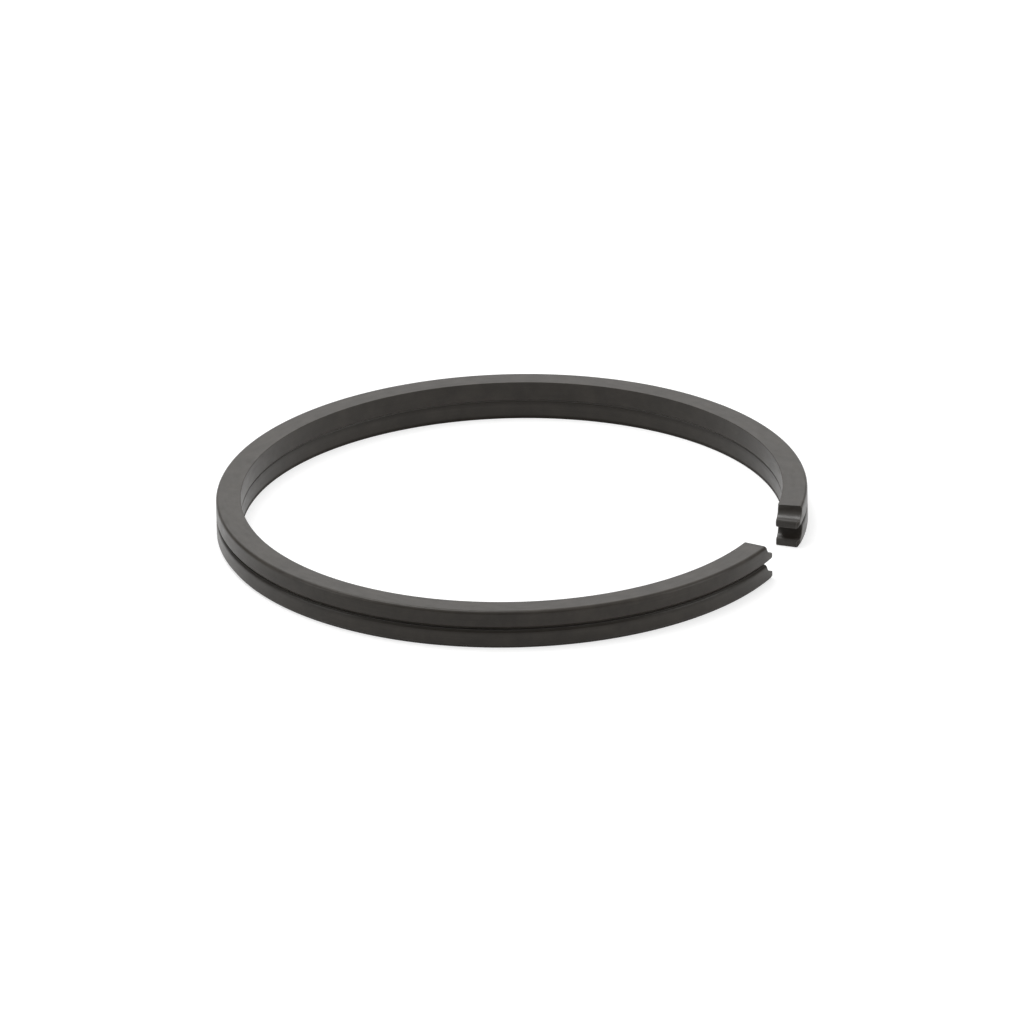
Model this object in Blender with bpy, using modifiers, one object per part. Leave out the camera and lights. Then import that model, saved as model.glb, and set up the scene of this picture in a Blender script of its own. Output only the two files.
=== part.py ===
"""A split piston ring lying flat on its lower side face, in metres with +Z up.

The ring is one solid: two equal lands, one above the other, with a groove between them on the
outer wall and a fine line between them on the inner wall. The gap has parallel sides. Each end of
each land carries a short tongue with a rounded nose under a quarter-round notch, which clears a
locating pin when the ring is squeezed shut. The origin is on the ring's axis, in the plane of its
lower side face. The gap opens towards +X.
"""

import math

import bmesh
import bpy
from mathutils import Matrix, Vector

# Driving dimensions in metres
OUTER_RADIUS = 0.045        # nominal outer radius of the free ring
SPRING = 0.00097            # strength of the free shape's departure from a circle
RADIAL_WIDTH = 0.00375      # outer wall to inner wall
LAND_HEIGHT = 0.003         # one land; the ring is two lands high
OUTER_ROUND = 0.00055       # rounding of each land's upper outer edge
UNDER_HEIGHT = 0.00055      # height of the chamfer on each land's lower outer edge
UNDER_DEPTH = 0.0004        # radial depth of that chamfer
GROOVE_DEPTH = 0.0008       # outer wall to the root of the groove between the lands
GROOVE_SLOT = 0.00014       # width of the groove at its root
INNER_BREAK = 0.00015       # chamfer on the upper and lower inner edges
LINE_WIDTH = 0.0003         # mouth of the fine line between the lands on the inner wall
LINE_DEPTH = 0.00025        # inner wall to the bottom of that line
END_GAP = 0.0114            # free gap between facing tongue tips
TONGUE_LENGTH = 0.0019      # a tongue's reach beyond the butt face above it
NOTCH_RADIUS = 0.0018       # quarter-round notch above each tongue
NOSE_ROUND = 0.0005         # rounding of a tongue's upper tip edge, which meets the notch
TIP_ROUND = 0.0002          # rounding of a tongue's lower tip edge
TIP_CHAMFER = 0.00045       # chamfer on each tongue's outer corner

# Fineness of the facets
STATIONS = 144              # sections around the full circle
ROUND_PIECES = 4            # pieces in a rounded outer edge
FLANK_PIECES = 3            # pieces in the rounded flank of the groove
NOTCH_PIECES = 8            # pieces in a quarter-round notch
NOSE_PIECES = 5             # pieces in the rounding of a nose
TIP_PIECES = 2              # pieces in the rounding below it

# Sizes that follow from them
RING_HEIGHT = 2 * LAND_HEIGHT
INNER_RADIUS = OUTER_RADIUS - RADIAL_WIDTH
BUTT_PLACE = END_GAP / 2 + TONGUE_LENGTH    # middle of the gap to each butt face
OVERCUT = RADIAL_WIDTH      # how far a cutter runs past the ring's faces


def arc(centre_x, centre_z, radius, start, end, pieces):
    """Points along an arc, both ends included; angles in degrees from +X towards +Z."""
    points = []
    for i in range(pieces + 1):
        angle = math.radians(start + (end - start) * i / pieces)
        points.append((centre_x + radius * math.cos(angle), centre_z + radius * math.sin(angle)))
    return points


def free_spread(angle):
    """Radial departure of the free ring from its nominal circle, at an angle from the gap.

    It is the shape of a thin ring that presses evenly on its cylinder once it is closed.
    """
    back = math.pi - abs(angle)
    return SPRING * (0.5 * back * math.sin(back) - 0.5 + 0.25 * math.cos(back))


def section_profile():
    """Closed outline of the ring's section as (radius, height), down its outer side first."""
    round_x = OUTER_RADIUS - OUTER_ROUND
    root_x = OUTER_RADIUS - GROOVE_DEPTH
    slot_half = GROOVE_SLOT / 2
    line_half = LINE_WIDTH / 2
    under_x = OUTER_RADIUS - UNDER_DEPTH
    flank_start = math.degrees(math.asin(1 - slot_half / OUTER_ROUND))

    upper_edge = arc(round_x, RING_HEIGHT - OUTER_ROUND, OUTER_ROUND, 90, 0, ROUND_PIECES)
    upper_flank = [(OUTER_RADIUS, LAND_HEIGHT + UNDER_HEIGHT), (under_x, LAND_HEIGHT + slot_half)]
    root = [(root_x, LAND_HEIGHT + slot_half), (root_x, LAND_HEIGHT - slot_half)]
    lower_flank = arc(round_x, LAND_HEIGHT - OUTER_ROUND, OUTER_ROUND, flank_start, 0, FLANK_PIECES)
    lower_edge = [(OUTER_RADIUS, UNDER_HEIGHT), (under_x, 0)]
    inner_side = [
        (INNER_RADIUS + INNER_BREAK, 0),
        (INNER_RADIUS, INNER_BREAK),
        (INNER_RADIUS, LAND_HEIGHT - line_half),
        (INNER_RADIUS + LINE_DEPTH, LAND_HEIGHT),
        (INNER_RADIUS, LAND_HEIGHT + line_half),
        (INNER_RADIUS, RING_HEIGHT - INNER_BREAK),
        (INNER_RADIUS + INNER_BREAK, RING_HEIGHT),
    ]
    return upper_edge + upper_flank + root + lower_flank + lower_edge + inner_side


def end_profile():
    """Profile of one end, top to bottom, as (distance from the middle of the gap, height).

    For each land a quarter-round notch runs on into the tongue's nose, and both arcs touch.
    """
    notch_place = BUTT_PLACE - NOTCH_RADIUS
    nose_place = END_GAP / 2 + NOSE_ROUND
    tip_place = END_GAP / 2 + TIP_ROUND
    apart = NOTCH_RADIUS + NOSE_ROUND
    lean = math.asin((nose_place - notch_place) / apart)
    nose_drop = apart * math.cos(lean)
    meet = math.degrees(lean) - 90
    points = []
    for top in (RING_HEIGHT, LAND_HEIGHT):
        foot = top - LAND_HEIGHT
        points += arc(notch_place, top, NOTCH_RADIUS, 0, meet, NOTCH_PIECES)
        points += arc(nose_place, top - nose_drop, NOSE_ROUND, 180 + meet, 180, NOSE_PIECES)[1:]
        points += arc(tip_place, foot + TIP_ROUND, TIP_ROUND, 180, 270, TIP_PIECES)
    return points


def gap_outline():
    """Outline of the air between the ends, as (distance from the middle of the gap, height)."""
    profile = end_profile()
    right_end = [(BUTT_PLACE, RING_HEIGHT + OVERCUT)] + profile + [(profile[-1][0], -OVERCUT)]
    left_end = [(-distance, height) for distance, height in reversed(right_end)]
    return right_end + left_end


def corner_outline():
    """Plan outline, as (x, y), of the air outside the chamfers on the tongues' outer corners."""
    tip_y = END_GAP / 2
    tip_radius = OUTER_RADIUS + free_spread(math.asin(tip_y / OUTER_RADIUS))
    tip_x = math.sqrt(tip_radius ** 2 - tip_y ** 2)
    inner_point = (tip_x - TIP_CHAMFER - OVERCUT, tip_y - OVERCUT)
    outer_point = (tip_x + OVERCUT, tip_y + TIP_CHAMFER + OVERCUT)
    return [inner_point, (inner_point[0], -inner_point[1]), (outer_point[0], -outer_point[1]),
            outer_point]


def make_collection(name):
    collection = bpy.data.collections.new(name)
    bpy.context.scene.collection.children.link(collection)
    return collection


def make_material():
    """Dark phosphate finish on machined cast iron."""
    material = bpy.data.materials.new("phosphated_iron")
    material.use_nodes = True
    shader = material.node_tree.nodes["Principled BSDF"]
    shader.inputs["Base Color"].default_value = (0.105, 0.1, 0.094, 1)
    shader.inputs["Roughness"].default_value = 0.42
    shader.inputs["Metallic"].default_value = 0.8
    return material


def turned_ring(collection):
    """The section turned through a full circle, as a plain mesh object."""
    profile = section_profile()
    corners = [(x, 0, z) for x, z in profile]
    edges = [(i, (i + 1) % len(corners)) for i in range(len(corners))]
    mesh = bpy.data.meshes.new("piston_ring_section")
    mesh.from_pydata(corners, edges, [])
    section = bpy.data.objects.new("piston_ring_section", mesh)
    collection.objects.link(section)

    screw = section.modifiers.new("turn", "SCREW")
    screw.axis = "Z"
    screw.angle = math.tau
    screw.steps = STATIONS
    screw.render_steps = STATIONS
    screw.use_smooth_shade = False

    bpy.context.view_layer.update()
    evaluated = section.evaluated_get(bpy.context.evaluated_depsgraph_get())
    turned = bpy.data.meshes.new_from_object(evaluated)
    turned.name = "piston_ring"
    ring = bpy.data.objects.new("piston_ring", turned)
    collection.objects.link(ring)
    bpy.data.objects.remove(section)
    return ring


def spring_open(ring):
    """Moves each section outwards or inwards, so the circle takes the ring's free shape."""
    for vertex in ring.data.vertices:
        angle = math.atan2(vertex.co.y, vertex.co.x)
        radius = math.hypot(vertex.co.x, vertex.co.y)
        share = (radius + free_spread(angle)) / radius
        vertex.co.x *= share
        vertex.co.y *= share


def make_cutter(name, points, half_depth, place, collection):
    """A prism of air from a flat outline, as deep both ways from the place it is moved to."""
    outline = bpy.data.curves.new(name, "CURVE")
    outline.dimensions = "2D"
    outline.fill_mode = "BOTH"
    outline.extrude = half_depth
    spline = outline.splines.new("POLY")
    spline.points.add(len(points) - 1)
    for point, (across, up) in zip(spline.points, points):
        point.co = (across, up, 0, 1)
    spline.use_cyclic_u = True
    drawn = bpy.data.objects.new(name, outline)
    collection.objects.link(drawn)

    bpy.context.view_layer.update()
    evaluated = drawn.evaluated_get(bpy.context.evaluated_depsgraph_get())
    solid = bpy.data.meshes.new_from_object(evaluated)
    bpy.data.objects.remove(drawn)
    solid.transform(place)
    shape = bmesh.new()
    shape.from_mesh(solid)
    bmesh.ops.remove_doubles(shape, verts=shape.verts, dist=0.000001)
    bmesh.ops.recalc_face_normals(shape, faces=shape.faces)
    shape.to_mesh(solid)
    shape.free()

    cutter = bpy.data.objects.new(name, solid)
    collection.objects.link(cutter)
    cutter.hide_render = True
    cutter.display_type = "WIRE"
    return cutter


def cut_ends(ring, collection):
    """Opens the gap with its notches and tongues, then chamfers the tongues' outer corners."""
    facing_x = Matrix(((0, 0, 1), (1, 0, 0), (0, 1, 0))).to_4x4()
    facing_x.translation = Vector((OUTER_RADIUS - RADIAL_WIDTH / 2, 0, 0))
    upright = Matrix.Translation((0, 0, RING_HEIGHT / 2))
    cutters = (
        make_cutter("gap", gap_outline(), RADIAL_WIDTH / 2 + OVERCUT, facing_x, collection),
        make_cutter("corners", corner_outline(), RING_HEIGHT / 2 + OVERCUT, upright, collection),
    )
    for cutter in cutters:
        cut = ring.modifiers.new(cutter.name, "BOOLEAN")
        cut.operation = "DIFFERENCE"
        cut.solver = "EXACT"
        cut.object = cutter


def main():
    for item in list(bpy.data.objects):
        bpy.data.objects.remove(item)
    parts = make_collection("piston_ring")
    cutters = make_collection("piston_ring_cutters")

    ring = turned_ring(parts)
    spring_open(ring)
    cut_ends(ring, cutters)
    ring.data.materials.append(make_material())
    ring.data.shade_smooth()
    ring.data.set_sharp_from_angle(angle=math.radians(30))


main()
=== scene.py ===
"""A notched split piston ring with a phosphated iron finish, on a pale studio floor."""

import math

import bmesh
import bpy
from bpy.props import FloatProperty, FloatVectorProperty, IntProperty, PointerProperty
from bpy.types import Operator, Panel, PropertyGroup
from mathutils import Matrix, Vector


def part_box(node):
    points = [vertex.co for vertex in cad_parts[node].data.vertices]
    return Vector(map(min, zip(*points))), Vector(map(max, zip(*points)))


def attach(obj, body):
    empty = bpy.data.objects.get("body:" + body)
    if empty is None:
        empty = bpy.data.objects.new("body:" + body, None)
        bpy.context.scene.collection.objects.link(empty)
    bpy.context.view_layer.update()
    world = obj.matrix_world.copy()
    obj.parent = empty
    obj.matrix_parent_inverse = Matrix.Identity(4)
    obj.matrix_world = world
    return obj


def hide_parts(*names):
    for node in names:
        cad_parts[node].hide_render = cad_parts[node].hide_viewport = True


bl_info = {
    "name": "Piston ring",
    "version": (1, 0, 0),
    "blender": (4, 5, 0),
    "location": "3D View > Sidebar > Piston ring",
    "description": "Builds a notched split piston ring, its phosphated finish and a pale studio",
    "category": "Object",
}

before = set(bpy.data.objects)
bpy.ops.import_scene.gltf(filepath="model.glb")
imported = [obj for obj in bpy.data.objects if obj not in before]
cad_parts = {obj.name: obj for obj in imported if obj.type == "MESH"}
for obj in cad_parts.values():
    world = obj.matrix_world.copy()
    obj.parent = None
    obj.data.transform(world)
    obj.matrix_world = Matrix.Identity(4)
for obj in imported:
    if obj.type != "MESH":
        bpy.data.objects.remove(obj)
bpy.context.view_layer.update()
NODE = "piston_ring"
BODY = "root"
NODE_LOW, NODE_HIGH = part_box(NODE)
MM = 0.001


class RingShape(PropertyGroup):
    """Sizes of the free ring."""

    outer_radius: FloatProperty(
        name="Outer radius", description="Nominal outer radius of the free ring",
        default=0.04499, unit="LENGTH", precision=5)
    spring: FloatProperty(
        name="Spring", description="Strength of the free shape's departure from a circle",
        default=0.00097, unit="LENGTH", precision=5)
    radial_width: FloatProperty(
        name="Radial width", description="Outer wall to inner wall",
        default=0.00375, unit="LENGTH", precision=5)
    land_height: FloatProperty(
        name="Land height", description="Height of one of the two lands",
        default=(NODE_HIGH[2] - NODE_LOW[2]) / 2, unit="LENGTH", precision=5)
    outer_round: FloatProperty(
        name="Outer rounding", description="Rounding of each land's upper outer edge",
        default=0.00055, unit="LENGTH", precision=5)
    under_height: FloatProperty(
        name="Lower chamfer height", description="Chamfer on each land's lower outer edge",
        default=0.00055, unit="LENGTH", precision=5)
    under_depth: FloatProperty(
        name="Lower chamfer depth", description="Radial depth of that chamfer",
        default=0.0004, unit="LENGTH", precision=5)
    groove_depth: FloatProperty(
        name="Groove depth", description="Outer wall to the root of the groove between the lands",
        default=0.0008, unit="LENGTH", precision=5)
    groove_slot: FloatProperty(
        name="Groove slot", description="Width of the groove at its root",
        default=0.00014, unit="LENGTH", precision=5)
    inner_break: FloatProperty(
        name="Inner chamfer", description="Chamfer on the upper and lower inner edges",
        default=0.00005, unit="LENGTH", precision=5)
    line_width: FloatProperty(
        name="Inner line width", description="Mouth of the fine line on the inner wall",
        default=0.00025, unit="LENGTH", precision=5)
    line_depth: FloatProperty(
        name="Inner line depth", description="Inner wall to the bottom of the fine line",
        default=0.00015, unit="LENGTH", precision=5)
    end_gap: FloatProperty(
        name="End gap", description="Free gap between facing tongue tips",
        default=0.0114, unit="LENGTH", precision=5)
    tongue_length: FloatProperty(
        name="Tongue length", description="A tongue's reach beyond the butt face above it",
        default=0.00195, unit="LENGTH", precision=5)
    butt_turn: FloatProperty(
        name="Butt turn", description="How far the notches turn towards a radius of the ring",
        default=math.radians(8), subtype="ANGLE")
    notch_radius: FloatProperty(
        name="Notch radius", description="Quarter-round notch above each tongue",
        default=0.0018, unit="LENGTH", precision=5)
    nose_round: FloatProperty(
        name="Nose rounding", description="Rounding of a tongue's upper tip edge",
        default=0.0005, unit="LENGTH", precision=5)
    tip_round: FloatProperty(
        name="Tip rounding", description="Rounding of a tongue's lower tip edge",
        default=0.0002, unit="LENGTH", precision=5)
    tip_chamfer: FloatProperty(
        name="Corner chamfer", description="Chamfer on each tongue's outer corner",
        default=0.00045, unit="LENGTH", precision=5)
    corner_blend: FloatProperty(
        name="Corner blend", description="Soft run of the outer wall into that chamfer",
        default=0.0003, unit="LENGTH", precision=5)
    edge_break: FloatProperty(
        name="Edge break", description="Fine rounding left on the cut edges of the ends",
        default=0.00012, unit="LENGTH", precision=5)
    stations: IntProperty(
        name="Stations", description="Sections around the ring between its ends",
        default=240, min=24, max=720)


class RingFinish(PropertyGroup):
    """Colours and textures of the phosphated iron."""

    coat_colour: FloatVectorProperty(
        name="Coat", description="Dark phosphate coat", subtype="COLOR",
        size=4, min=0, max=1, default=(0.033, 0.0288, 0.0242, 1))
    thin_colour: FloatVectorProperty(
        name="Thin coat", description="Greyer tone where the coat is thin", subtype="COLOR",
        size=4, min=0, max=1, default=(0.058, 0.0505, 0.0425, 1))
    # Painted shade: this colour darkens the wall just below the groove and at its foot; it also gives
    # the ground ends their darker tone
    end_tone_and_shade_colour: FloatVectorProperty(
        name="Groove", description="Dark tone of the ground ends, and painted shade below the groove and at the wall's foot",
        subtype="COLOR", size=4, min=0, max=1, default=(0.0138, 0.0106, 0.0072, 1))
    # Painted light: this bare-iron tone paints a highlight along the cut edges and lifts the shade
    # inside the groove's slot
    painted_light_colour: FloatVectorProperty(
        name="Bare iron", description="Bare-iron tone of the painted highlight on cut edges and the painted light in the groove's slot", subtype="COLOR",
        size=4, min=0, max=1, default=(0.15, 0.143, 0.133, 1))
    roughness: FloatProperty(
        name="Roughness", description="Mean roughness of the coat",
        default=0.35, min=0, max=1)
    grain: FloatProperty(
        name="Grain", description="Height of the machining marks", default=0.000004,
        unit="LENGTH", precision=6)
    crystal: FloatProperty(
        name="Crystals", description="Height of the coat's crystals", default=0.000003,
        unit="LENGTH", precision=6)


class RingStudio(PropertyGroup):
    """Camera, lamps and floor."""

    azimuth: FloatProperty(
        name="Azimuth", description="Camera's turn round the ring; 0 looks along +Y",
        default=math.radians(20.8), subtype="ANGLE")
    elevation: FloatProperty(
        name="Elevation", description="Camera's height above the horizon",
        default=math.radians(23.68), subtype="ANGLE")
    roll: FloatProperty(
        name="Roll", description="Camera's turn about its own line of sight",
        default=math.radians(1.17), subtype="ANGLE")
    distance: FloatProperty(
        name="Distance", description="Camera to the ring's centre", default=2.7, unit="LENGTH")
    lens: FloatProperty(
        name="Lens", description="Focal length in millimetres", default=626.7)
    centre_x: FloatProperty(
        name="Centre across", description="Picture column of the ring's centre, of 1024",
        default=512.53)
    centre_y: FloatProperty(
        name="Centre down", description="Picture row of the ring's centre, of 1024",
        default=526.65)
    back_power: FloatProperty(
        name="Back softbox", description="Power of the large softbox behind the ring",
        default=7.3)
    top_power: FloatProperty(
        name="Overhead softbox", description="Power of the softbox above the ring",
        default=9.5)
    left_power: FloatProperty(
        name="Left softbox", description="Power of the softbox at the left", default=4.4)
    right_power: FloatProperty(
        name="Right softbox", description="Power of the softbox at the right", default=5.5)
    low_sky: FloatProperty(
        name="Low sky", description="Strength of the world near the horizon", default=0.16)
    high_sky: FloatProperty(
        name="High sky", description="Strength of the world overhead", default=0.75)
    floor_colour: FloatVectorProperty(
        name="Floor", description="Pale studio floor", subtype="COLOR",
        size=4, min=0, max=1, default=(0.45, 0.45, 0.45, 1))
    floor_lift: FloatProperty(
        name="Floor lift", description="Glow that only the viewer's rays see on the floor",
        default=0.65)


def free_spread(shape, angle):
    """Radial departure of the free ring from its nominal circle, at an angle from the gap."""
    back = math.pi - abs(angle)
    return shape.spring * (0.5 * back * math.sin(back) - 0.5 + 0.25 * math.cos(back))


def butt_place(shape):
    """Middle of the gap to each butt face."""
    return shape.end_gap / 2 + shape.tongue_length


def nose_drop(shape):
    """Depth of the middle of a nose's rounding, which touches the notch above it."""
    apart = shape.notch_radius + shape.nose_round
    aside = shape.notch_radius - shape.tongue_length + shape.nose_round
    return math.sqrt(apart ** 2 - aside ** 2)


def meet_lean(shape):
    """Angle off upright of the line through both middles, on which notch and nose meet."""
    aside = shape.notch_radius - shape.tongue_length + shape.nose_round
    return math.asin(aside / (shape.notch_radius + shape.nose_round))


def outer_wall(shape, depth, upper):
    """Radius of a land's outer wall at a depth below its top: rounded above, chamfered below."""
    edge = shape.outer_round
    if depth < edge:
        return shape.outer_radius - edge + math.sqrt(edge ** 2 - (edge - max(depth, 0)) ** 2)
    bottom = shape.land_height - (shape.groove_slot / 2 if upper else 0)
    start = shape.land_height - shape.under_height
    share = min(1, max(0, depth - start) / (bottom - start))
    return shape.outer_radius - shape.under_depth * share


def inner_wall(shape, depth, upper):
    """Radius of a land's inner wall: a chamfer on its plain side, the fine line on the other."""
    height = shape.land_height
    from_plain = depth if upper else height - depth
    from_line = height - from_plain
    chamfer = max(0, shape.inner_break - from_plain)
    line = shape.line_depth * max(0, 1 - from_line / (shape.line_width / 2))
    return shape.outer_radius - shape.radial_width + chamfer + line


# Rows of points in the curves down one land
EDGE_ROWS = 8               # rounded outer edge
NOTCH_ROWS = 12             # quarter-round notch
NOSE_ROWS = 8               # rounding of a tongue's upper tip edge
TIP_ROWS = 4                # rounding of its lower tip edge
ROW_SPACE = 2e-6            # least space between the groove's slot and the next row


def land_rows(shape, upper):
    """Rows down one land, each as (depth below its top, whether it lies in the groove)."""
    height = shape.land_height
    edge = shape.outer_round
    notch = shape.notch_radius
    nose = shape.nose_round
    slot = shape.groove_slot / 2
    lean = meet_lean(shape)
    drop = nose_drop(shape)
    first = math.asin(min(1, edge / notch))
    last = math.pi / 2 - lean

    depths = [edge * (1 - math.cos(math.pi / 2 * i / EDGE_ROWS)) for i in range(EDGE_ROWS + 1)]
    for i in range(1, NOTCH_ROWS + 1):
        depths.append(notch * math.sin(first + (last - first) * i / NOTCH_ROWS))
    for i in range(1, NOSE_ROWS + 1):
        depths.append(drop - nose * math.cos(lean + last * i / NOSE_ROWS))
    for i in range(TIP_ROWS + 1):
        depths.append(height - shape.tip_round * (1 - math.sin(math.pi / 2 * i / TIP_ROWS)))
    depths += [height - shape.under_height, height - shape.under_height / 2]
    depths += [shape.inner_break, height - shape.inner_break]
    if upper:
        rows = [(depth, False) for depth in sorted(depths) if height - depth > slot + ROW_SPACE]
        return rows + [(height - slot, False), (height - slot, True), (height, True)]
    rows = [(depth, False) for depth in sorted(depths) if depth > slot + ROW_SPACE]
    return [(0, True), (slot, True), (slot, False)] + rows


def end_point(shape, depth, broken):
    """Where a row meets the end's outline, as (towards the gap, depth), and the way back in."""
    notch = shape.notch_radius
    nose = shape.nose_round
    tip = shape.tip_round
    reach = shape.tongue_length
    height = shape.land_height
    small = shape.edge_break
    drop = nose_drop(shape)
    if broken and depth < small:
        along = -small + math.sqrt(small ** 2 - (small - depth) ** 2)
        return (along, depth), (-1, 0)
    if depth < drop - nose * math.cos(meet_lean(shape)) - 1e-9:
        turn = math.asin(depth / notch)
        return (notch - notch * math.cos(turn), depth), (-math.cos(turn), math.sin(turn))
    if depth < drop:
        turn = math.acos((drop - depth) / nose)
        return (reach - nose + nose * math.sin(turn), depth), (-math.sin(turn), math.cos(turn))
    if depth <= height - tip:
        return (reach, depth), (-1, 0)
    turn = math.asin(min(1, (depth - height + tip) / tip))
    inward = (-1, 0) if depth > height - 1e-9 else (-math.cos(turn), -math.sin(turn))
    return (reach - tip + tip * math.cos(turn), depth), inward


def edge_inset(shape, distance):
    """How far a wall draws in at a distance from a cut edge, for the fine rounding there."""
    small = shape.edge_break
    if distance >= small:
        return 0
    return small - math.sqrt(small ** 2 - (small - distance) ** 2)


# Columns of points through one end zone
LEAD_IN = 0.001             # length of the end zone behind a butt face
ZONE_COLUMNS = (8, 4)       # columns in that zone, before and after the chamfer's crease
TONGUE_COLUMNS = (7, 4)     # further columns along the upper tongue, in the same way
CREASE_LIMIT = 0.9          # share of a tongue before which the crease's column stays
# Last columns before a cut edge, in edge breaks; the first has to stay within the tip rounding
LAYERS = (1.6, 1.0, 0.3, 0.0)


def on_gap(shape, radius, across):
    """A wall's distance from the gap's cross axis, at a distance from the middle of the gap."""
    real = radius
    for _ in range(3):
        real = radius + free_spread(shape, math.asin(across / real))
    return math.sqrt(real ** 2 - across ** 2)


def corner_limit(shape, across):
    """Where the chamfer on a tongue's outer corner cuts the wall off."""
    tip = shape.end_gap / 2
    return on_gap(shape, shape.outer_radius, tip) - shape.tip_chamfer + across - tip


def soft_least(first, second, blend):
    """The lesser of two lengths, blended softly where they are nearly equal."""
    close = max(0, blend - abs(first - second))
    return min(first, second) - close ** 2 / (4 * blend)


def crease_place(shape, radius):
    """Where an outer wall of that radius meets the corner chamfer, towards the gap."""
    start = corner_limit(shape, 0)
    real = math.hypot(on_gap(shape, radius, shape.end_gap / 2), shape.end_gap / 2)
    return butt_place(shape) - (math.sqrt(2 * real ** 2 - start ** 2) - start) / 2


def crease_marks(start, crease, stop, columns):
    """Places in even steps up to the crease and from there to the stop."""
    before, after = columns
    marks = [start + (crease - start) * i / before for i in range(before)]
    return marks + [crease + (stop - crease) * i / after for i in range(after + 1)]


def end_row(shape, depth, upper):
    """Points of one row through an end zone: (towards the gap, depth, inset of the walls)."""
    point, inward = end_point(shape, depth, upper)
    small = shape.edge_break
    last = [point[k] + LAYERS[0] * small * inward[k] for k in (0, 1)]
    reach = last[0] + LEAD_IN
    limit = (LEAD_IN + CREASE_LIMIT * shape.tongue_length) / (LEAD_IN + shape.tongue_length)
    crease = min(crease_place(shape, outer_wall(shape, depth, upper)), reach * limit - LEAD_IN)
    if upper:
        whole = LEAD_IN + shape.tongue_length - shape.tip_round - LAYERS[0] * small
        butt = LEAD_IN - LAYERS[0] * small
        zone = crease_marks(0, butt * limit, butt, ZONE_COLUMNS)
        zone += [LEAD_IN - layer * small for layer in LAYERS[1:]]
        marks = [mark * reach / whole - LEAD_IN for mark in zone]
        marks += crease_marks(marks[-1], crease, last[0], TONGUE_COLUMNS)[1:]
    else:
        marks = crease_marks(-LEAD_IN, crease, last[0], ZONE_COLUMNS)
    points = []
    for along in marks:
        share = (along + LEAD_IN) / reach
        points.append((along, depth + (last[1] - depth) * share ** 2, 0))
    fade = 1 if upper else min(1, depth / small)
    for layer in LAYERS[1:]:
        place = [point[k] + layer * small * inward[k] for k in (0, 1)]
        points.append((place[0], place[1], fade * edge_inset(shape, layer * small)))
    return points


def end_strip(shape, side, zone, radii, outer, top):
    """A row's points through one end zone, on the outer or the inner wall.

    The notch's turn is whole at the butt face and fades out at the tip and where the zone begins.
    """
    points = []
    turn = math.tan(shape.butt_turn) * shape.radial_width / 2 * (1 if outer else -1)
    for (along, deep, inset), radius in zip(zone, radii):
        share = 1 - along / shape.tongue_length if along > 0 else 1 + along / LEAD_IN
        across = butt_place(shape) - along + turn * share
        if outer:
            wall = on_gap(shape, radius - inset, across)
            ahead = soft_least(wall, corner_limit(shape, across) - inset, shape.corner_blend)
        else:
            ahead = on_gap(shape, radius + inset, across)
        points.append((ahead, side * across, top - deep))
    return points


def land_sheets(shape, top, upper):
    """Grids of points for a land's outer and inner wall, from one end round to the other."""
    middle = shape.outer_radius - shape.radial_width / 2
    start = math.asin((butt_place(shape) + LEAD_IN) / middle)
    count = shape.stations
    angles = [start + (math.tau - 2 * start) * i / count for i in range(1, count)]
    root = shape.outer_radius - shape.groove_depth
    sheets = ([], [])
    for depth, in_groove in land_rows(shape, upper):
        zone = end_row(shape, depth, upper)
        walls = ([root if in_groove else outer_wall(shape, deep, upper) for _, deep, _ in zone],
                 [inner_wall(shape, deep, upper) for _, deep, _ in zone])
        for sheet, radii in zip(sheets, walls):
            outer = sheet is sheets[0]
            row = end_strip(shape, 1, zone, radii, outer, top)[::-1]
            for angle in angles:
                away = angle if angle < math.pi else angle - math.tau
                real = radii[0] + free_spread(shape, away)
                row.append((real * math.cos(angle), real * math.sin(angle), top - depth))
            sheet.append(row + end_strip(shape, -1, zone, radii, outer, top))
    return sheets


# Material numbers of the kinds of surface
SIDE_FACE, WALL_FACE, CUT_FACE, EDGE_FACE = 0, 1, 2, 3

WELD = 0.0000005            # points nearer than this are one
SHARP_ANGLE = math.radians(32)      # an edge that turns more than this is shaded sharp


def ring_mesh(shape):
    """The whole ring as one closed mesh, with a material number for each kind of surface."""
    points = []
    faces = []
    kinds = []

    def add_grid(grid):
        numbers = []
        for row in grid:
            numbers.append(list(range(len(points), len(points) + len(row))))
            points.extend(row)
        return numbers

    def add_strip(first, second, kind, highlight_edges=0):
        """Faces between two rows; the given number of them at each end are edge faces, which get a
        painted highlight.
        """
        last = len(first) - 2
        for i in range(last + 1):
            faces.append((first[i], first[i + 1], second[i + 1], second[i]))
            kinds.append(EDGE_FACE if i < highlight_edges or i > last - highlight_edges else kind)

    for upper in (True, False):
        top = shape.land_height * (2 if upper else 1)
        outer, inner = [add_grid(sheet) for sheet in land_sheets(shape, top, upper)]
        for sheet in (outer, inner):
            for above, below in zip(sheet, sheet[1:]):
                # The outermost faces at each cut edge get the painted highlight
                add_strip(above, below, WALL_FACE, highlight_edges=1)
        for column in (0, -1):
            outside = [row[column] for row in outer]
            inside = [row[column] for row in inner]
            add_strip(outside, inside, CUT_FACE)
        if upper:
            add_strip(outer[0], inner[0], SIDE_FACE)
            beyond = sum(TONGUE_COLUMNS) + len(LAYERS)
            add_strip(outer[-1][:beyond], inner[-1][:beyond], SIDE_FACE)
            add_strip(outer[-1][-beyond:], inner[-1][-beyond:], SIDE_FACE)
        else:
            add_strip(outer[-1], inner[-1], SIDE_FACE)

    mesh = bpy.data.meshes.new("ring_surface")
    mesh.from_pydata(points, [], faces)
    mesh.polygons.foreach_set("material_index", kinds)
    joined = bmesh.new()
    joined.from_mesh(mesh)
    bmesh.ops.remove_doubles(joined, verts=joined.verts, dist=WELD)
    bmesh.ops.dissolve_degenerate(joined, edges=joined.edges, dist=WELD)
    bmesh.ops.recalc_face_normals(joined, faces=joined.faces)
    joined.to_mesh(mesh)
    joined.free()
    return mesh


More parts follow.
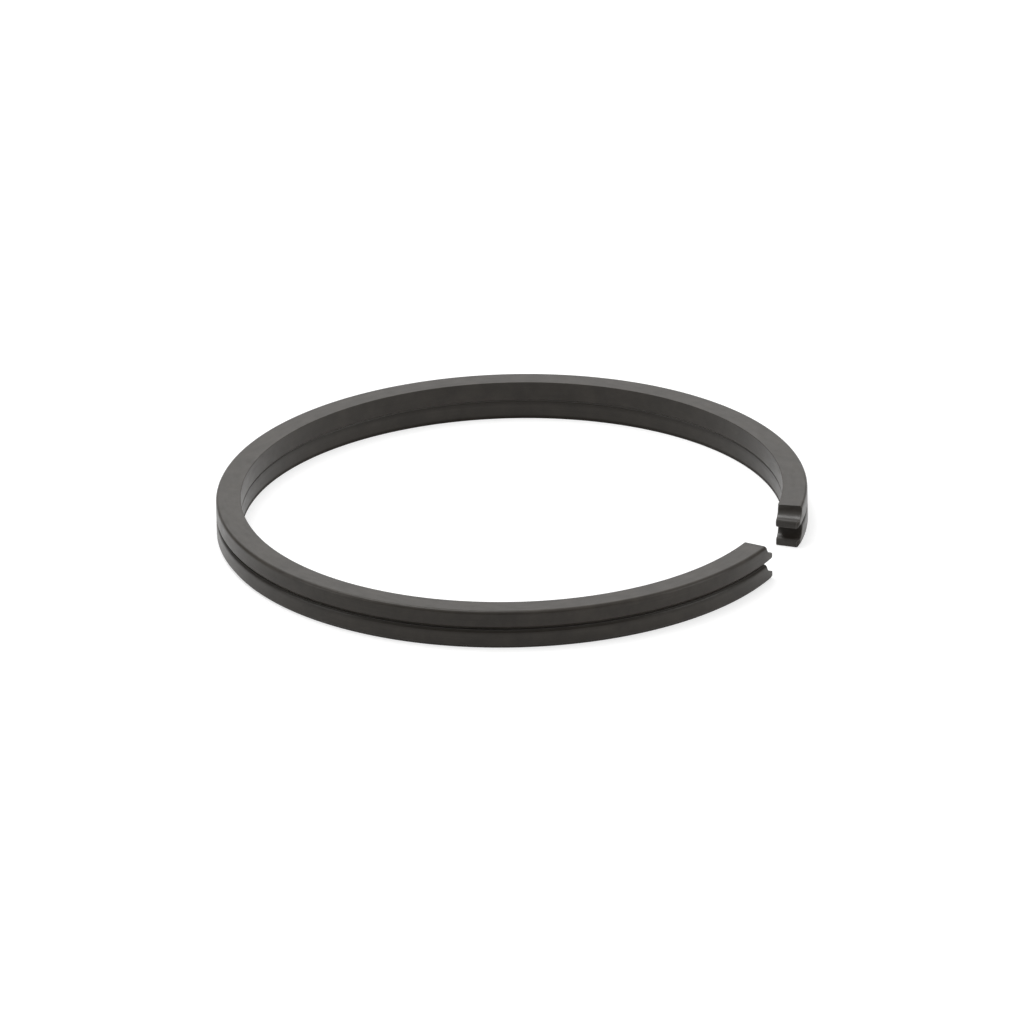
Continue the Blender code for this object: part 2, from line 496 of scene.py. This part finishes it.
class Value:
    """A number socket that takes part in Python expressions; each operation adds a Math node."""

    def __init__(self, tree, socket):
        self.tree = tree
        self.socket = socket

    def math(self, operation, *others):
        """This value and any others through a Math node."""
        inputs = [self.socket] + [getattr(other, "socket", other) for other in others]
        return self.tree.add("ShaderNodeMath", {"operation": operation}, inputs)

    def swapped(self, operation, other):
        """A plain number before this value in a Math node."""
        return self.tree.add("ShaderNodeMath", {"operation": operation}, [other, self.socket])

    def __add__(self, other):
        return self.math("ADD", other)

    def __sub__(self, other):
        return self.math("SUBTRACT", other)

    def __mul__(self, other):
        return self.math("MULTIPLY", other)

    def __truediv__(self, other):
        return self.math("DIVIDE", other)

    def __rsub__(self, other):
        return self.swapped("SUBTRACT", other)

    def __rtruediv__(self, other):
        return self.swapped("DIVIDE", other)

    __radd__ = __add__
    __rmul__ = __mul__


# A Mix node's sockets for colours, by number, since its sockets share their names
MIX_FACTOR, MIX_FIRST, MIX_SECOND = 0, 6, 7
MIX_RESULT = 2


class Tree:
    """Adds nodes to a shader tree."""

    def __init__(self, nodes):
        self.nodes = nodes
        self.nodes.nodes.clear()

    def add(self, kind, settings=None, inputs=None, output=0):
        """A node of a type with its settings, then its sockets' values or links; gives an output."""
        node = self.nodes.nodes.new(kind)
        for name, value in (settings or {}).items():
            if name == "stops":
                self.set_stops(node.color_ramp, value)
            else:
                setattr(node, name, value)
        pairs = inputs.items() if isinstance(inputs, dict) else enumerate(inputs or [])
        for key, value in pairs:
            source = getattr(value, "socket", value)
            if isinstance(source, bpy.types.NodeSocket):
                self.nodes.links.new(source, node.inputs[key])
            else:
                node.inputs[key].default_value = source
        return Value(self, node.outputs[output]) if len(node.outputs) else node

    @staticmethod
    def set_stops(ramp, stops):
        """Gives a colour ramp its grey stops."""
        while len(ramp.elements) < len(stops):
            ramp.elements.new(0.5)
        for element, (position, level) in zip(ramp.elements, stops):
            element.position = position
            element.color = (level, level, level, 1)

    def noise(self, vector, scale, detail, roughness):
        """Soft noise between 0 and 1, about 0.5."""
        return self.add(
            "ShaderNodeTexNoise", {"noise_dimensions": "3D"},
            {"Vector": vector, "Scale": scale, "Detail": detail, "Roughness": roughness})

    def ramp(self, value, *stops):
        """Maps a value through a ramp of (position, level) stops."""
        return self.add("ShaderNodeValToRGB", {"stops": stops}, {"Fac": value})

    def vector(self, x, y, z):
        """A vector of three numbers."""
        return self.add("ShaderNodeCombineXYZ", {}, [x, y, z])

    def parts(self, vector):
        """The three numbers of a vector."""
        split = self.add("ShaderNodeSeparateXYZ", {}, [vector])
        return [Value(self, item) for item in split.socket.node.outputs]

    def mix_colour(self, factor, first, second):
        """Mixes two colours by a factor from 0 to 1."""
        return self.add("ShaderNodeMix", {"data_type": "RGBA"},
                        {MIX_FACTOR: factor, MIX_FIRST: first, MIX_SECOND: second}, MIX_RESULT)


def ring_places(tree, shape):
    """Places on the ring in millimetres: length round it, distance from its axis, height."""
    x, y, z = tree.parts(tree.add("ShaderNodeTexCoord", output="Object"))
    angle = y.math("ARCTAN2", x)
    radius = (x * x + y * y).math("SQRT") / MM
    return angle * (shape.outer_radius / MM), radius, z / MM


# Cells of noise in a millimetre
GRAIN_ALONG = 0.045         # machining marks, along their own direction
GRAIN_ACROSS = 11           # machining marks, from one to the next
GROUND_GRAIN = (6, 0.35, 6)     # marks on a cut end: round the ring, along a radius, upwards
CRYSTAL_CELLS = 9           # crystals of the coat
CLOUD_CELLS = 0.32          # slow changes of tone
BLOTCH_CELLS = 1.3          # patches of smoother and rougher coat
BLOTCH_STRETCH = 0.35       # the same along the ring, as a share of that across it

# How far each noise changes the coat's tone and its roughness
CLOUD_TONE, MARK_TONE, CRYSTAL_TONE = 1.5, 0.9, 0.8
BLOTCH_ROUGH, CRYSTAL_ROUGH, MARK_ROUGH = 0.16, 0.14, 0.1
THIN_SHARE = 0.3            # mean share of the thin coat's tone

# Share of the other colour that the darker ground ends, the painted shade below the groove, the
# painted light in the groove's slot and the painted shade at the wall's foot take
CUT_SHARE, GROOVE_SHADE_SHARE, SLOT_LIGHT_SHARE, FOOT_SHADE_SHARE = 0.6, 0.8, 0.5, 0.75

# Roughness added on cut ends, on their noses and at the wall's foot
CUT_ROUGH, NOSE_ROUGH, FOOT_ROUGH = 0.06, 0.25, 0.3

# Grain, crystals and shine of the ground ends and of the other surfaces
CUT_GRAIN, CUT_SPECKLE, CUT_SHINE = 0.05, 0.4, 0.55
PLAIN_GRAIN, PLAIN_SPECKLE, PLAIN_SHINE = 1.0, 1.0, 0.23

# Ramps over heights in millimetres, each as (position, level) stops
GROOVE_SHADE_REACH = 0.9             # how far the painted shade darkens the wall below the groove
GROOVE_SHADE_STOPS = (0.0, 0.0), (0.06, 0.0), (0.1, 1.0), (0.45, 0.75), (1.0, 0.0)
SLOT_LIGHT_STOPS = (0.0, 1.0), (0.09, 1.0), (0.13, 0.0)      # painted light in the groove's slot, over the distance from the groove
FOOT_STOPS = (0.0, 1.0), (0.4, 1.0), (0.65, 0.0)        # over the height above the floor; painted shade in the colour, extra roughness too
NOSE_STOPS = (0.0, 1.0), (0.35, 1.0), (0.43, 0.0)       # over a share of one land's height
EDGE_HIGHLIGHT_STOPS = (0.35, 0.25), (0.65, 0.6)                  # over noise, for the painted highlight on cut edges


def grain_place(tree, kind, length, radius, height):
    """Place in the noise of the machining marks, drawn out along the way the cut ran."""
    if kind == SIDE_FACE:
        return tree.vector(length * GRAIN_ALONG, radius * GRAIN_ACROSS, 0.0)
    if kind == WALL_FACE:
        return tree.vector(length * GRAIN_ALONG, height * GRAIN_ACROSS, 0.0)
    round_ring, outwards, upwards = GROUND_GRAIN
    return tree.vector(length * round_ring, radius * outwards, height * upwards)


def coat_colour(tree, kind, noises, height, shape, finish):
    """Base colour of the coat: mottled, darker on ground ends, with painted shade below the groove
    and low down, painted light in the groove's slot and a painted highlight at cut edges.
    """
    marks, crystals, clouds, grain = noises
    end_tone_and_shade_colour = tuple(finish.end_tone_and_shade_colour)
    painted_light_colour = tuple(finish.painted_light_colour)
    tone = THIN_SHARE + (clouds - 0.5) * CLOUD_TONE + (marks - 0.5) * (MARK_TONE * grain)
    tone = tone + (crystals - 0.5) * CRYSTAL_TONE
    coat = tree.mix_colour(tone.math("MINIMUM", 1.0).math("MAXIMUM", 0.0),
                           tuple(finish.coat_colour), tuple(finish.thin_colour))
    if kind == CUT_FACE:
        return tree.mix_colour(CUT_SHARE, coat, end_tone_and_shade_colour)
    if kind == EDGE_FACE:
        # Painted highlight along the cut edges, in a lighter bare-iron tone
        highlight_edges = tree.ramp(crystals * 0.5 + clouds * 0.5, *EDGE_HIGHLIGHT_STOPS)
        return tree.mix_colour(highlight_edges, coat, painted_light_colour)
    if kind == WALL_FACE:
        groove = shape.land_height / MM
        # Painted shade on the wall just below the groove
        groove_shade = tree.ramp((groove - height) / GROOVE_SHADE_REACH, *GROOVE_SHADE_STOPS)
        # Painted light that lifts the shade in and around the groove's slot
        slot_light = tree.ramp((height - groove).math("ABSOLUTE"), *SLOT_LIGHT_STOPS)
        # Painted shade low on the wall, next to the floor
        foot = tree.ramp(height, *FOOT_STOPS)
        coat = tree.mix_colour(groove_shade * GROOVE_SHADE_SHARE, coat, end_tone_and_shade_colour)
        coat = tree.mix_colour(slot_light * SLOT_LIGHT_SHARE, coat, painted_light_colour)
        return tree.mix_colour(foot * FOOT_SHADE_SHARE, coat, end_tone_and_shade_colour)
    return coat


def coat_roughness(tree, kind, noises, height, shape, finish):
    """Roughness of the coat: uneven, and rougher on the tongues' noses and the wall's foot."""
    marks, crystals, blotches, grain = noises
    mean = finish.roughness + (CUT_ROUGH if kind == CUT_FACE else 0)
    rough = mean + (blotches - 0.5) * BLOTCH_ROUGH + (crystals - 0.5) * CRYSTAL_ROUGH
    rough = rough + (marks - 0.5) * (MARK_ROUGH * grain)
    if kind == CUT_FACE:
        share = (height / (shape.land_height / MM)).math("FRACT")
        rough = rough + tree.ramp(share, *NOSE_STOPS) * NOSE_ROUGH
    if kind == WALL_FACE:
        rough = rough + tree.ramp(height, *FOOT_STOPS) * FOOT_ROUGH
    return rough


def phosphated_iron(name, kind, shape, finish):
    """Dark phosphate coat over machined iron; the grain follows how that surface was cut."""
    material = bpy.data.materials.new(name)
    material.use_nodes = True
    tree = Tree(material.node_tree)
    length, radius, height = ring_places(tree, shape)
    even = tree.vector(length, radius, height)
    drawn_out = tree.vector(length * BLOTCH_STRETCH, radius, height)
    marks = tree.noise(grain_place(tree, kind, length, radius, height), 1.0, 3.0, 0.6)
    crystals = tree.noise(even, CRYSTAL_CELLS, 3.0, 0.65)
    clouds = tree.noise(even, CLOUD_CELLS, 3.0, 0.55)
    blotches = tree.noise(drawn_out, BLOTCH_CELLS, 2.0, 0.5)

    grain, speckle, shine = PLAIN_GRAIN, PLAIN_SPECKLE, PLAIN_SHINE
    if kind == CUT_FACE:
        grain, speckle, shine = CUT_GRAIN, CUT_SPECKLE, CUT_SHINE
    relief = marks * (grain * finish.grain / MM) + crystals * (speckle * finish.crystal / MM)
    bump = tree.add("ShaderNodeBump", {}, {"Strength": 1.0, "Distance": MM, "Height": relief})
    colour = coat_colour(tree, kind, (marks, crystals, clouds, grain), height, shape, finish)
    rough = coat_roughness(tree, kind, (marks, crystals, blotches, grain), height, shape, finish)
    shader = tree.add("ShaderNodeBsdfPrincipled", {}, {
        "Base Color": colour, "Roughness": rough, "Normal": bump,
        "Metallic": 0.0, "IOR": 1.5, "Specular IOR Level": shine})
    tree.add("ShaderNodeOutputMaterial", {}, [shader])
    return material


def lift_for_viewer(tree, strength):
    """A strength that only the camera, mirror and glass rays see."""
    path = tree.add("ShaderNodeLightPath").socket.node
    rays = [Value(tree, path.outputs["Is " + ray + " Ray"])
            for ray in ("Camera", "Glossy", "Transmission")]
    seen = rays[0].math("MAXIMUM", rays[1]).math("MAXIMUM", rays[2])
    return seen * strength


FLOOR_SIZE = 12
FLOOR_DROP = 0.00002        # the floor lies this far below the ring, so that they don't share a plane


def make_floor(studio):
    """A wide pale floor that shows white, with the ring's soft shadow on it."""
    bpy.ops.mesh.primitive_plane_add(size=FLOOR_SIZE, location=(0, 0, -FLOOR_DROP))
    floor = bpy.context.active_object
    floor.name = "studio_floor"
    material = bpy.data.materials.new("pale_floor")
    material.use_nodes = True
    tree = Tree(material.node_tree)
    shader = tree.add("ShaderNodeBsdfPrincipled", {}, {
        "Base Color": tuple(studio.floor_colour), "Roughness": 0.9, "Specular IOR Level": 0.2,
        "Emission Color": lift_for_viewer(tree, studio.floor_lift), "Emission Strength": 1.0})
    tree.add("ShaderNodeOutputMaterial", {}, [shader])
    floor.data.materials.append(material)


SKY_EDGES = (0.3, 0.85)     # rise of a direction where the high sky begins and where it is whole
BACK_SHARE = 0.6            # how much the low sky grows away from the camera and fades towards it


def make_world(studio):
    """A grey room that is bright overhead and darkest low down on the camera's side."""
    world = bpy.data.worlds.new("studio_world")
    world.use_nodes = True
    tree = Tree(world.node_tree)
    x, y, rise = tree.parts(tree.add("ShaderNodeTexCoord", output="Generated"))
    backward = y * math.cos(studio.azimuth) - x * math.sin(studio.azimuth)
    low = studio.low_sky + backward * (BACK_SHARE * studio.low_sky)
    begins, whole = SKY_EDGES
    grey = tree.add("ShaderNodeMapRange", {"interpolation_type": "SMOOTHSTEP"}, {
        "Value": rise, "From Min": begins, "From Max": whole,
        "To Min": low, "To Max": studio.high_sky})
    shader = tree.add("ShaderNodeBackground", {}, {"Color": grey, "Strength": 1.0})
    tree.add("ShaderNodeOutputWorld", {}, [shader])
    bpy.context.scene.world = world


# Softboxes standing round the ring: width, height, turn in degrees from the camera's side, rise
STAND_AWAY = 1.3            # their distance from the ring's axis
BACK_BOX = (1.7, 1.1, 180, 0.8)
LEFT_BOX = (0.8, 0.6, -80, 0.45)
RIGHT_BOX = (0.8, 0.6, 75, 0.45)

OVERHEAD_SIZE = (0.42, 0.75)
OVERHEAD_PLACE = (-0.42, 0.12, 1.42)


def make_softbox(name, power, width, height, place):
    """A soft rectangular lamp at a place, turned towards the ring."""
    lamp = bpy.data.lights.new(name, "AREA")
    lamp.shape = "RECTANGLE"
    lamp.size = width
    lamp.size_y = height
    lamp.energy = power
    softbox = bpy.data.objects.new(name, lamp)
    softbox.location = place
    softbox.rotation_euler = (-Vector(place)).to_track_quat("-Z", "Y").to_euler()
    softbox.visible_camera = False
    bpy.context.scene.collection.objects.link(softbox)


PICTURE = 1024              # width and height of the picture
SENSOR = 36                 # width of the camera's sensor in millimetres


def make_camera(studio):
    """A distant long lens, turned so that the ring's centre falls on its place in the picture."""
    turn = studio.azimuth
    lift = studio.elevation
    outward = Vector((math.sin(turn) * math.cos(lift), -math.cos(turn) * math.cos(lift),
                      math.sin(lift)))
    ahead = -outward
    right = ahead.cross(Vector((0, 0, 1))).normalized()
    upward = right.cross(ahead)
    pixels = studio.lens / SENSOR * PICTURE
    sway = Matrix.Rotation((studio.centre_x - PICTURE / 2) / pixels, 3, "Y")
    nod = Matrix.Rotation((studio.centre_y - PICTURE / 2) / pixels, 3, "X")
    roll = Matrix.Rotation(studio.roll, 3, "Z")
    axes = nod @ sway @ roll @ Matrix((right, upward, ahead))

    data = bpy.data.cameras.new("camera")
    data.lens = studio.lens
    data.sensor_width = SENSOR
    data.sensor_fit = "HORIZONTAL"
    camera = bpy.data.objects.new("camera", data)
    place = Matrix((axes[0], axes[1], -axes[2])).transposed().to_4x4()
    place.translation = outward * studio.distance
    camera.matrix_world = place
    bpy.context.scene.collection.objects.link(camera)
    bpy.context.scene.camera = camera


class RING_OT_build_ring(Operator):
    """Build the ring's fine surface and its finish"""

    bl_idname = "piston_ring.build_ring"
    bl_label = "Build ring"

    def execute(self, context):
        shape = context.scene.ring_shape
        finish = context.scene.ring_finish
        ring = bpy.data.objects.new("ring_surface", ring_mesh(shape))
        context.scene.collection.objects.link(ring)
        # The edge material carries the painted highlight along the cut edges
        for name, kind in (("lapped_side_face", SIDE_FACE), ("turned_wall", WALL_FACE),
                           ("ground_end", CUT_FACE), ("edge_painted_highlight", EDGE_FACE)):
            ring.data.materials.append(phosphated_iron(name, kind, shape, finish))
        ring.data.shade_smooth()
        ring.data.set_sharp_from_angle(angle=SHARP_ANGLE)
        even = ring.modifiers.new("even_shading", "WEIGHTED_NORMAL")
        even.keep_sharp = True
        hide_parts(NODE)
        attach(ring, BODY)
        return {"FINISHED"}


class RING_OT_build_stage(Operator):
    """Build the floor, the lamps, the grey world and the camera"""

    bl_idname = "piston_ring.build_stage"
    bl_label = "Build stage"

    def execute(self, context):
        studio = context.scene.ring_studio
        context.scene.view_settings.view_transform = "Standard"
        make_floor(studio)
        make_world(studio)
        for name, power, (width, height, turn, rise) in (
                ("back_softbox", studio.back_power, BACK_BOX),
                ("left_softbox", studio.left_power, LEFT_BOX),
                ("right_softbox", studio.right_power, RIGHT_BOX)):
            angle = studio.azimuth + math.radians(turn)
            place = (STAND_AWAY * math.sin(angle), -STAND_AWAY * math.cos(angle), rise)
            make_softbox(name, power, width, height, place)
        make_softbox("overhead_softbox", studio.top_power, *OVERHEAD_SIZE, OVERHEAD_PLACE)
        make_camera(studio)
        return {"FINISHED"}


class RING_PT_panel(Panel):
    """Sizes, finish and studio of the piston ring"""

    bl_idname = "RING_PT_panel"
    bl_label = "Piston ring"
    bl_space_type = "VIEW_3D"
    bl_region_type = "UI"
    bl_category = "Piston ring"

    def draw(self, context):
        layout = self.layout
        for group in (context.scene.ring_shape, context.scene.ring_finish,
                      context.scene.ring_studio):
            box = layout.box()
            for name in group.__annotations__:
                box.prop(group, name)
        layout.operator("piston_ring.build_ring")
        layout.operator("piston_ring.build_stage")


CLASSES = (RingShape, RingFinish, RingStudio, RING_OT_build_ring, RING_OT_build_stage,
           RING_PT_panel)


def register():
    for item in CLASSES:
        bpy.utils.register_class(item)
    bpy.types.Scene.ring_shape = PointerProperty(type=RingShape)
    bpy.types.Scene.ring_finish = PointerProperty(type=RingFinish)
    bpy.types.Scene.ring_studio = PointerProperty(type=RingStudio)


def unregister():
    del bpy.types.Scene.ring_studio
    del bpy.types.Scene.ring_finish
    del bpy.types.Scene.ring_shape
    for item in reversed(CLASSES):
        bpy.utils.unregister_class(item)


def main():
    register()
    bpy.ops.piston_ring.build_ring()
    bpy.ops.piston_ring.build_stage()


if __name__ == "__main__":
    main()
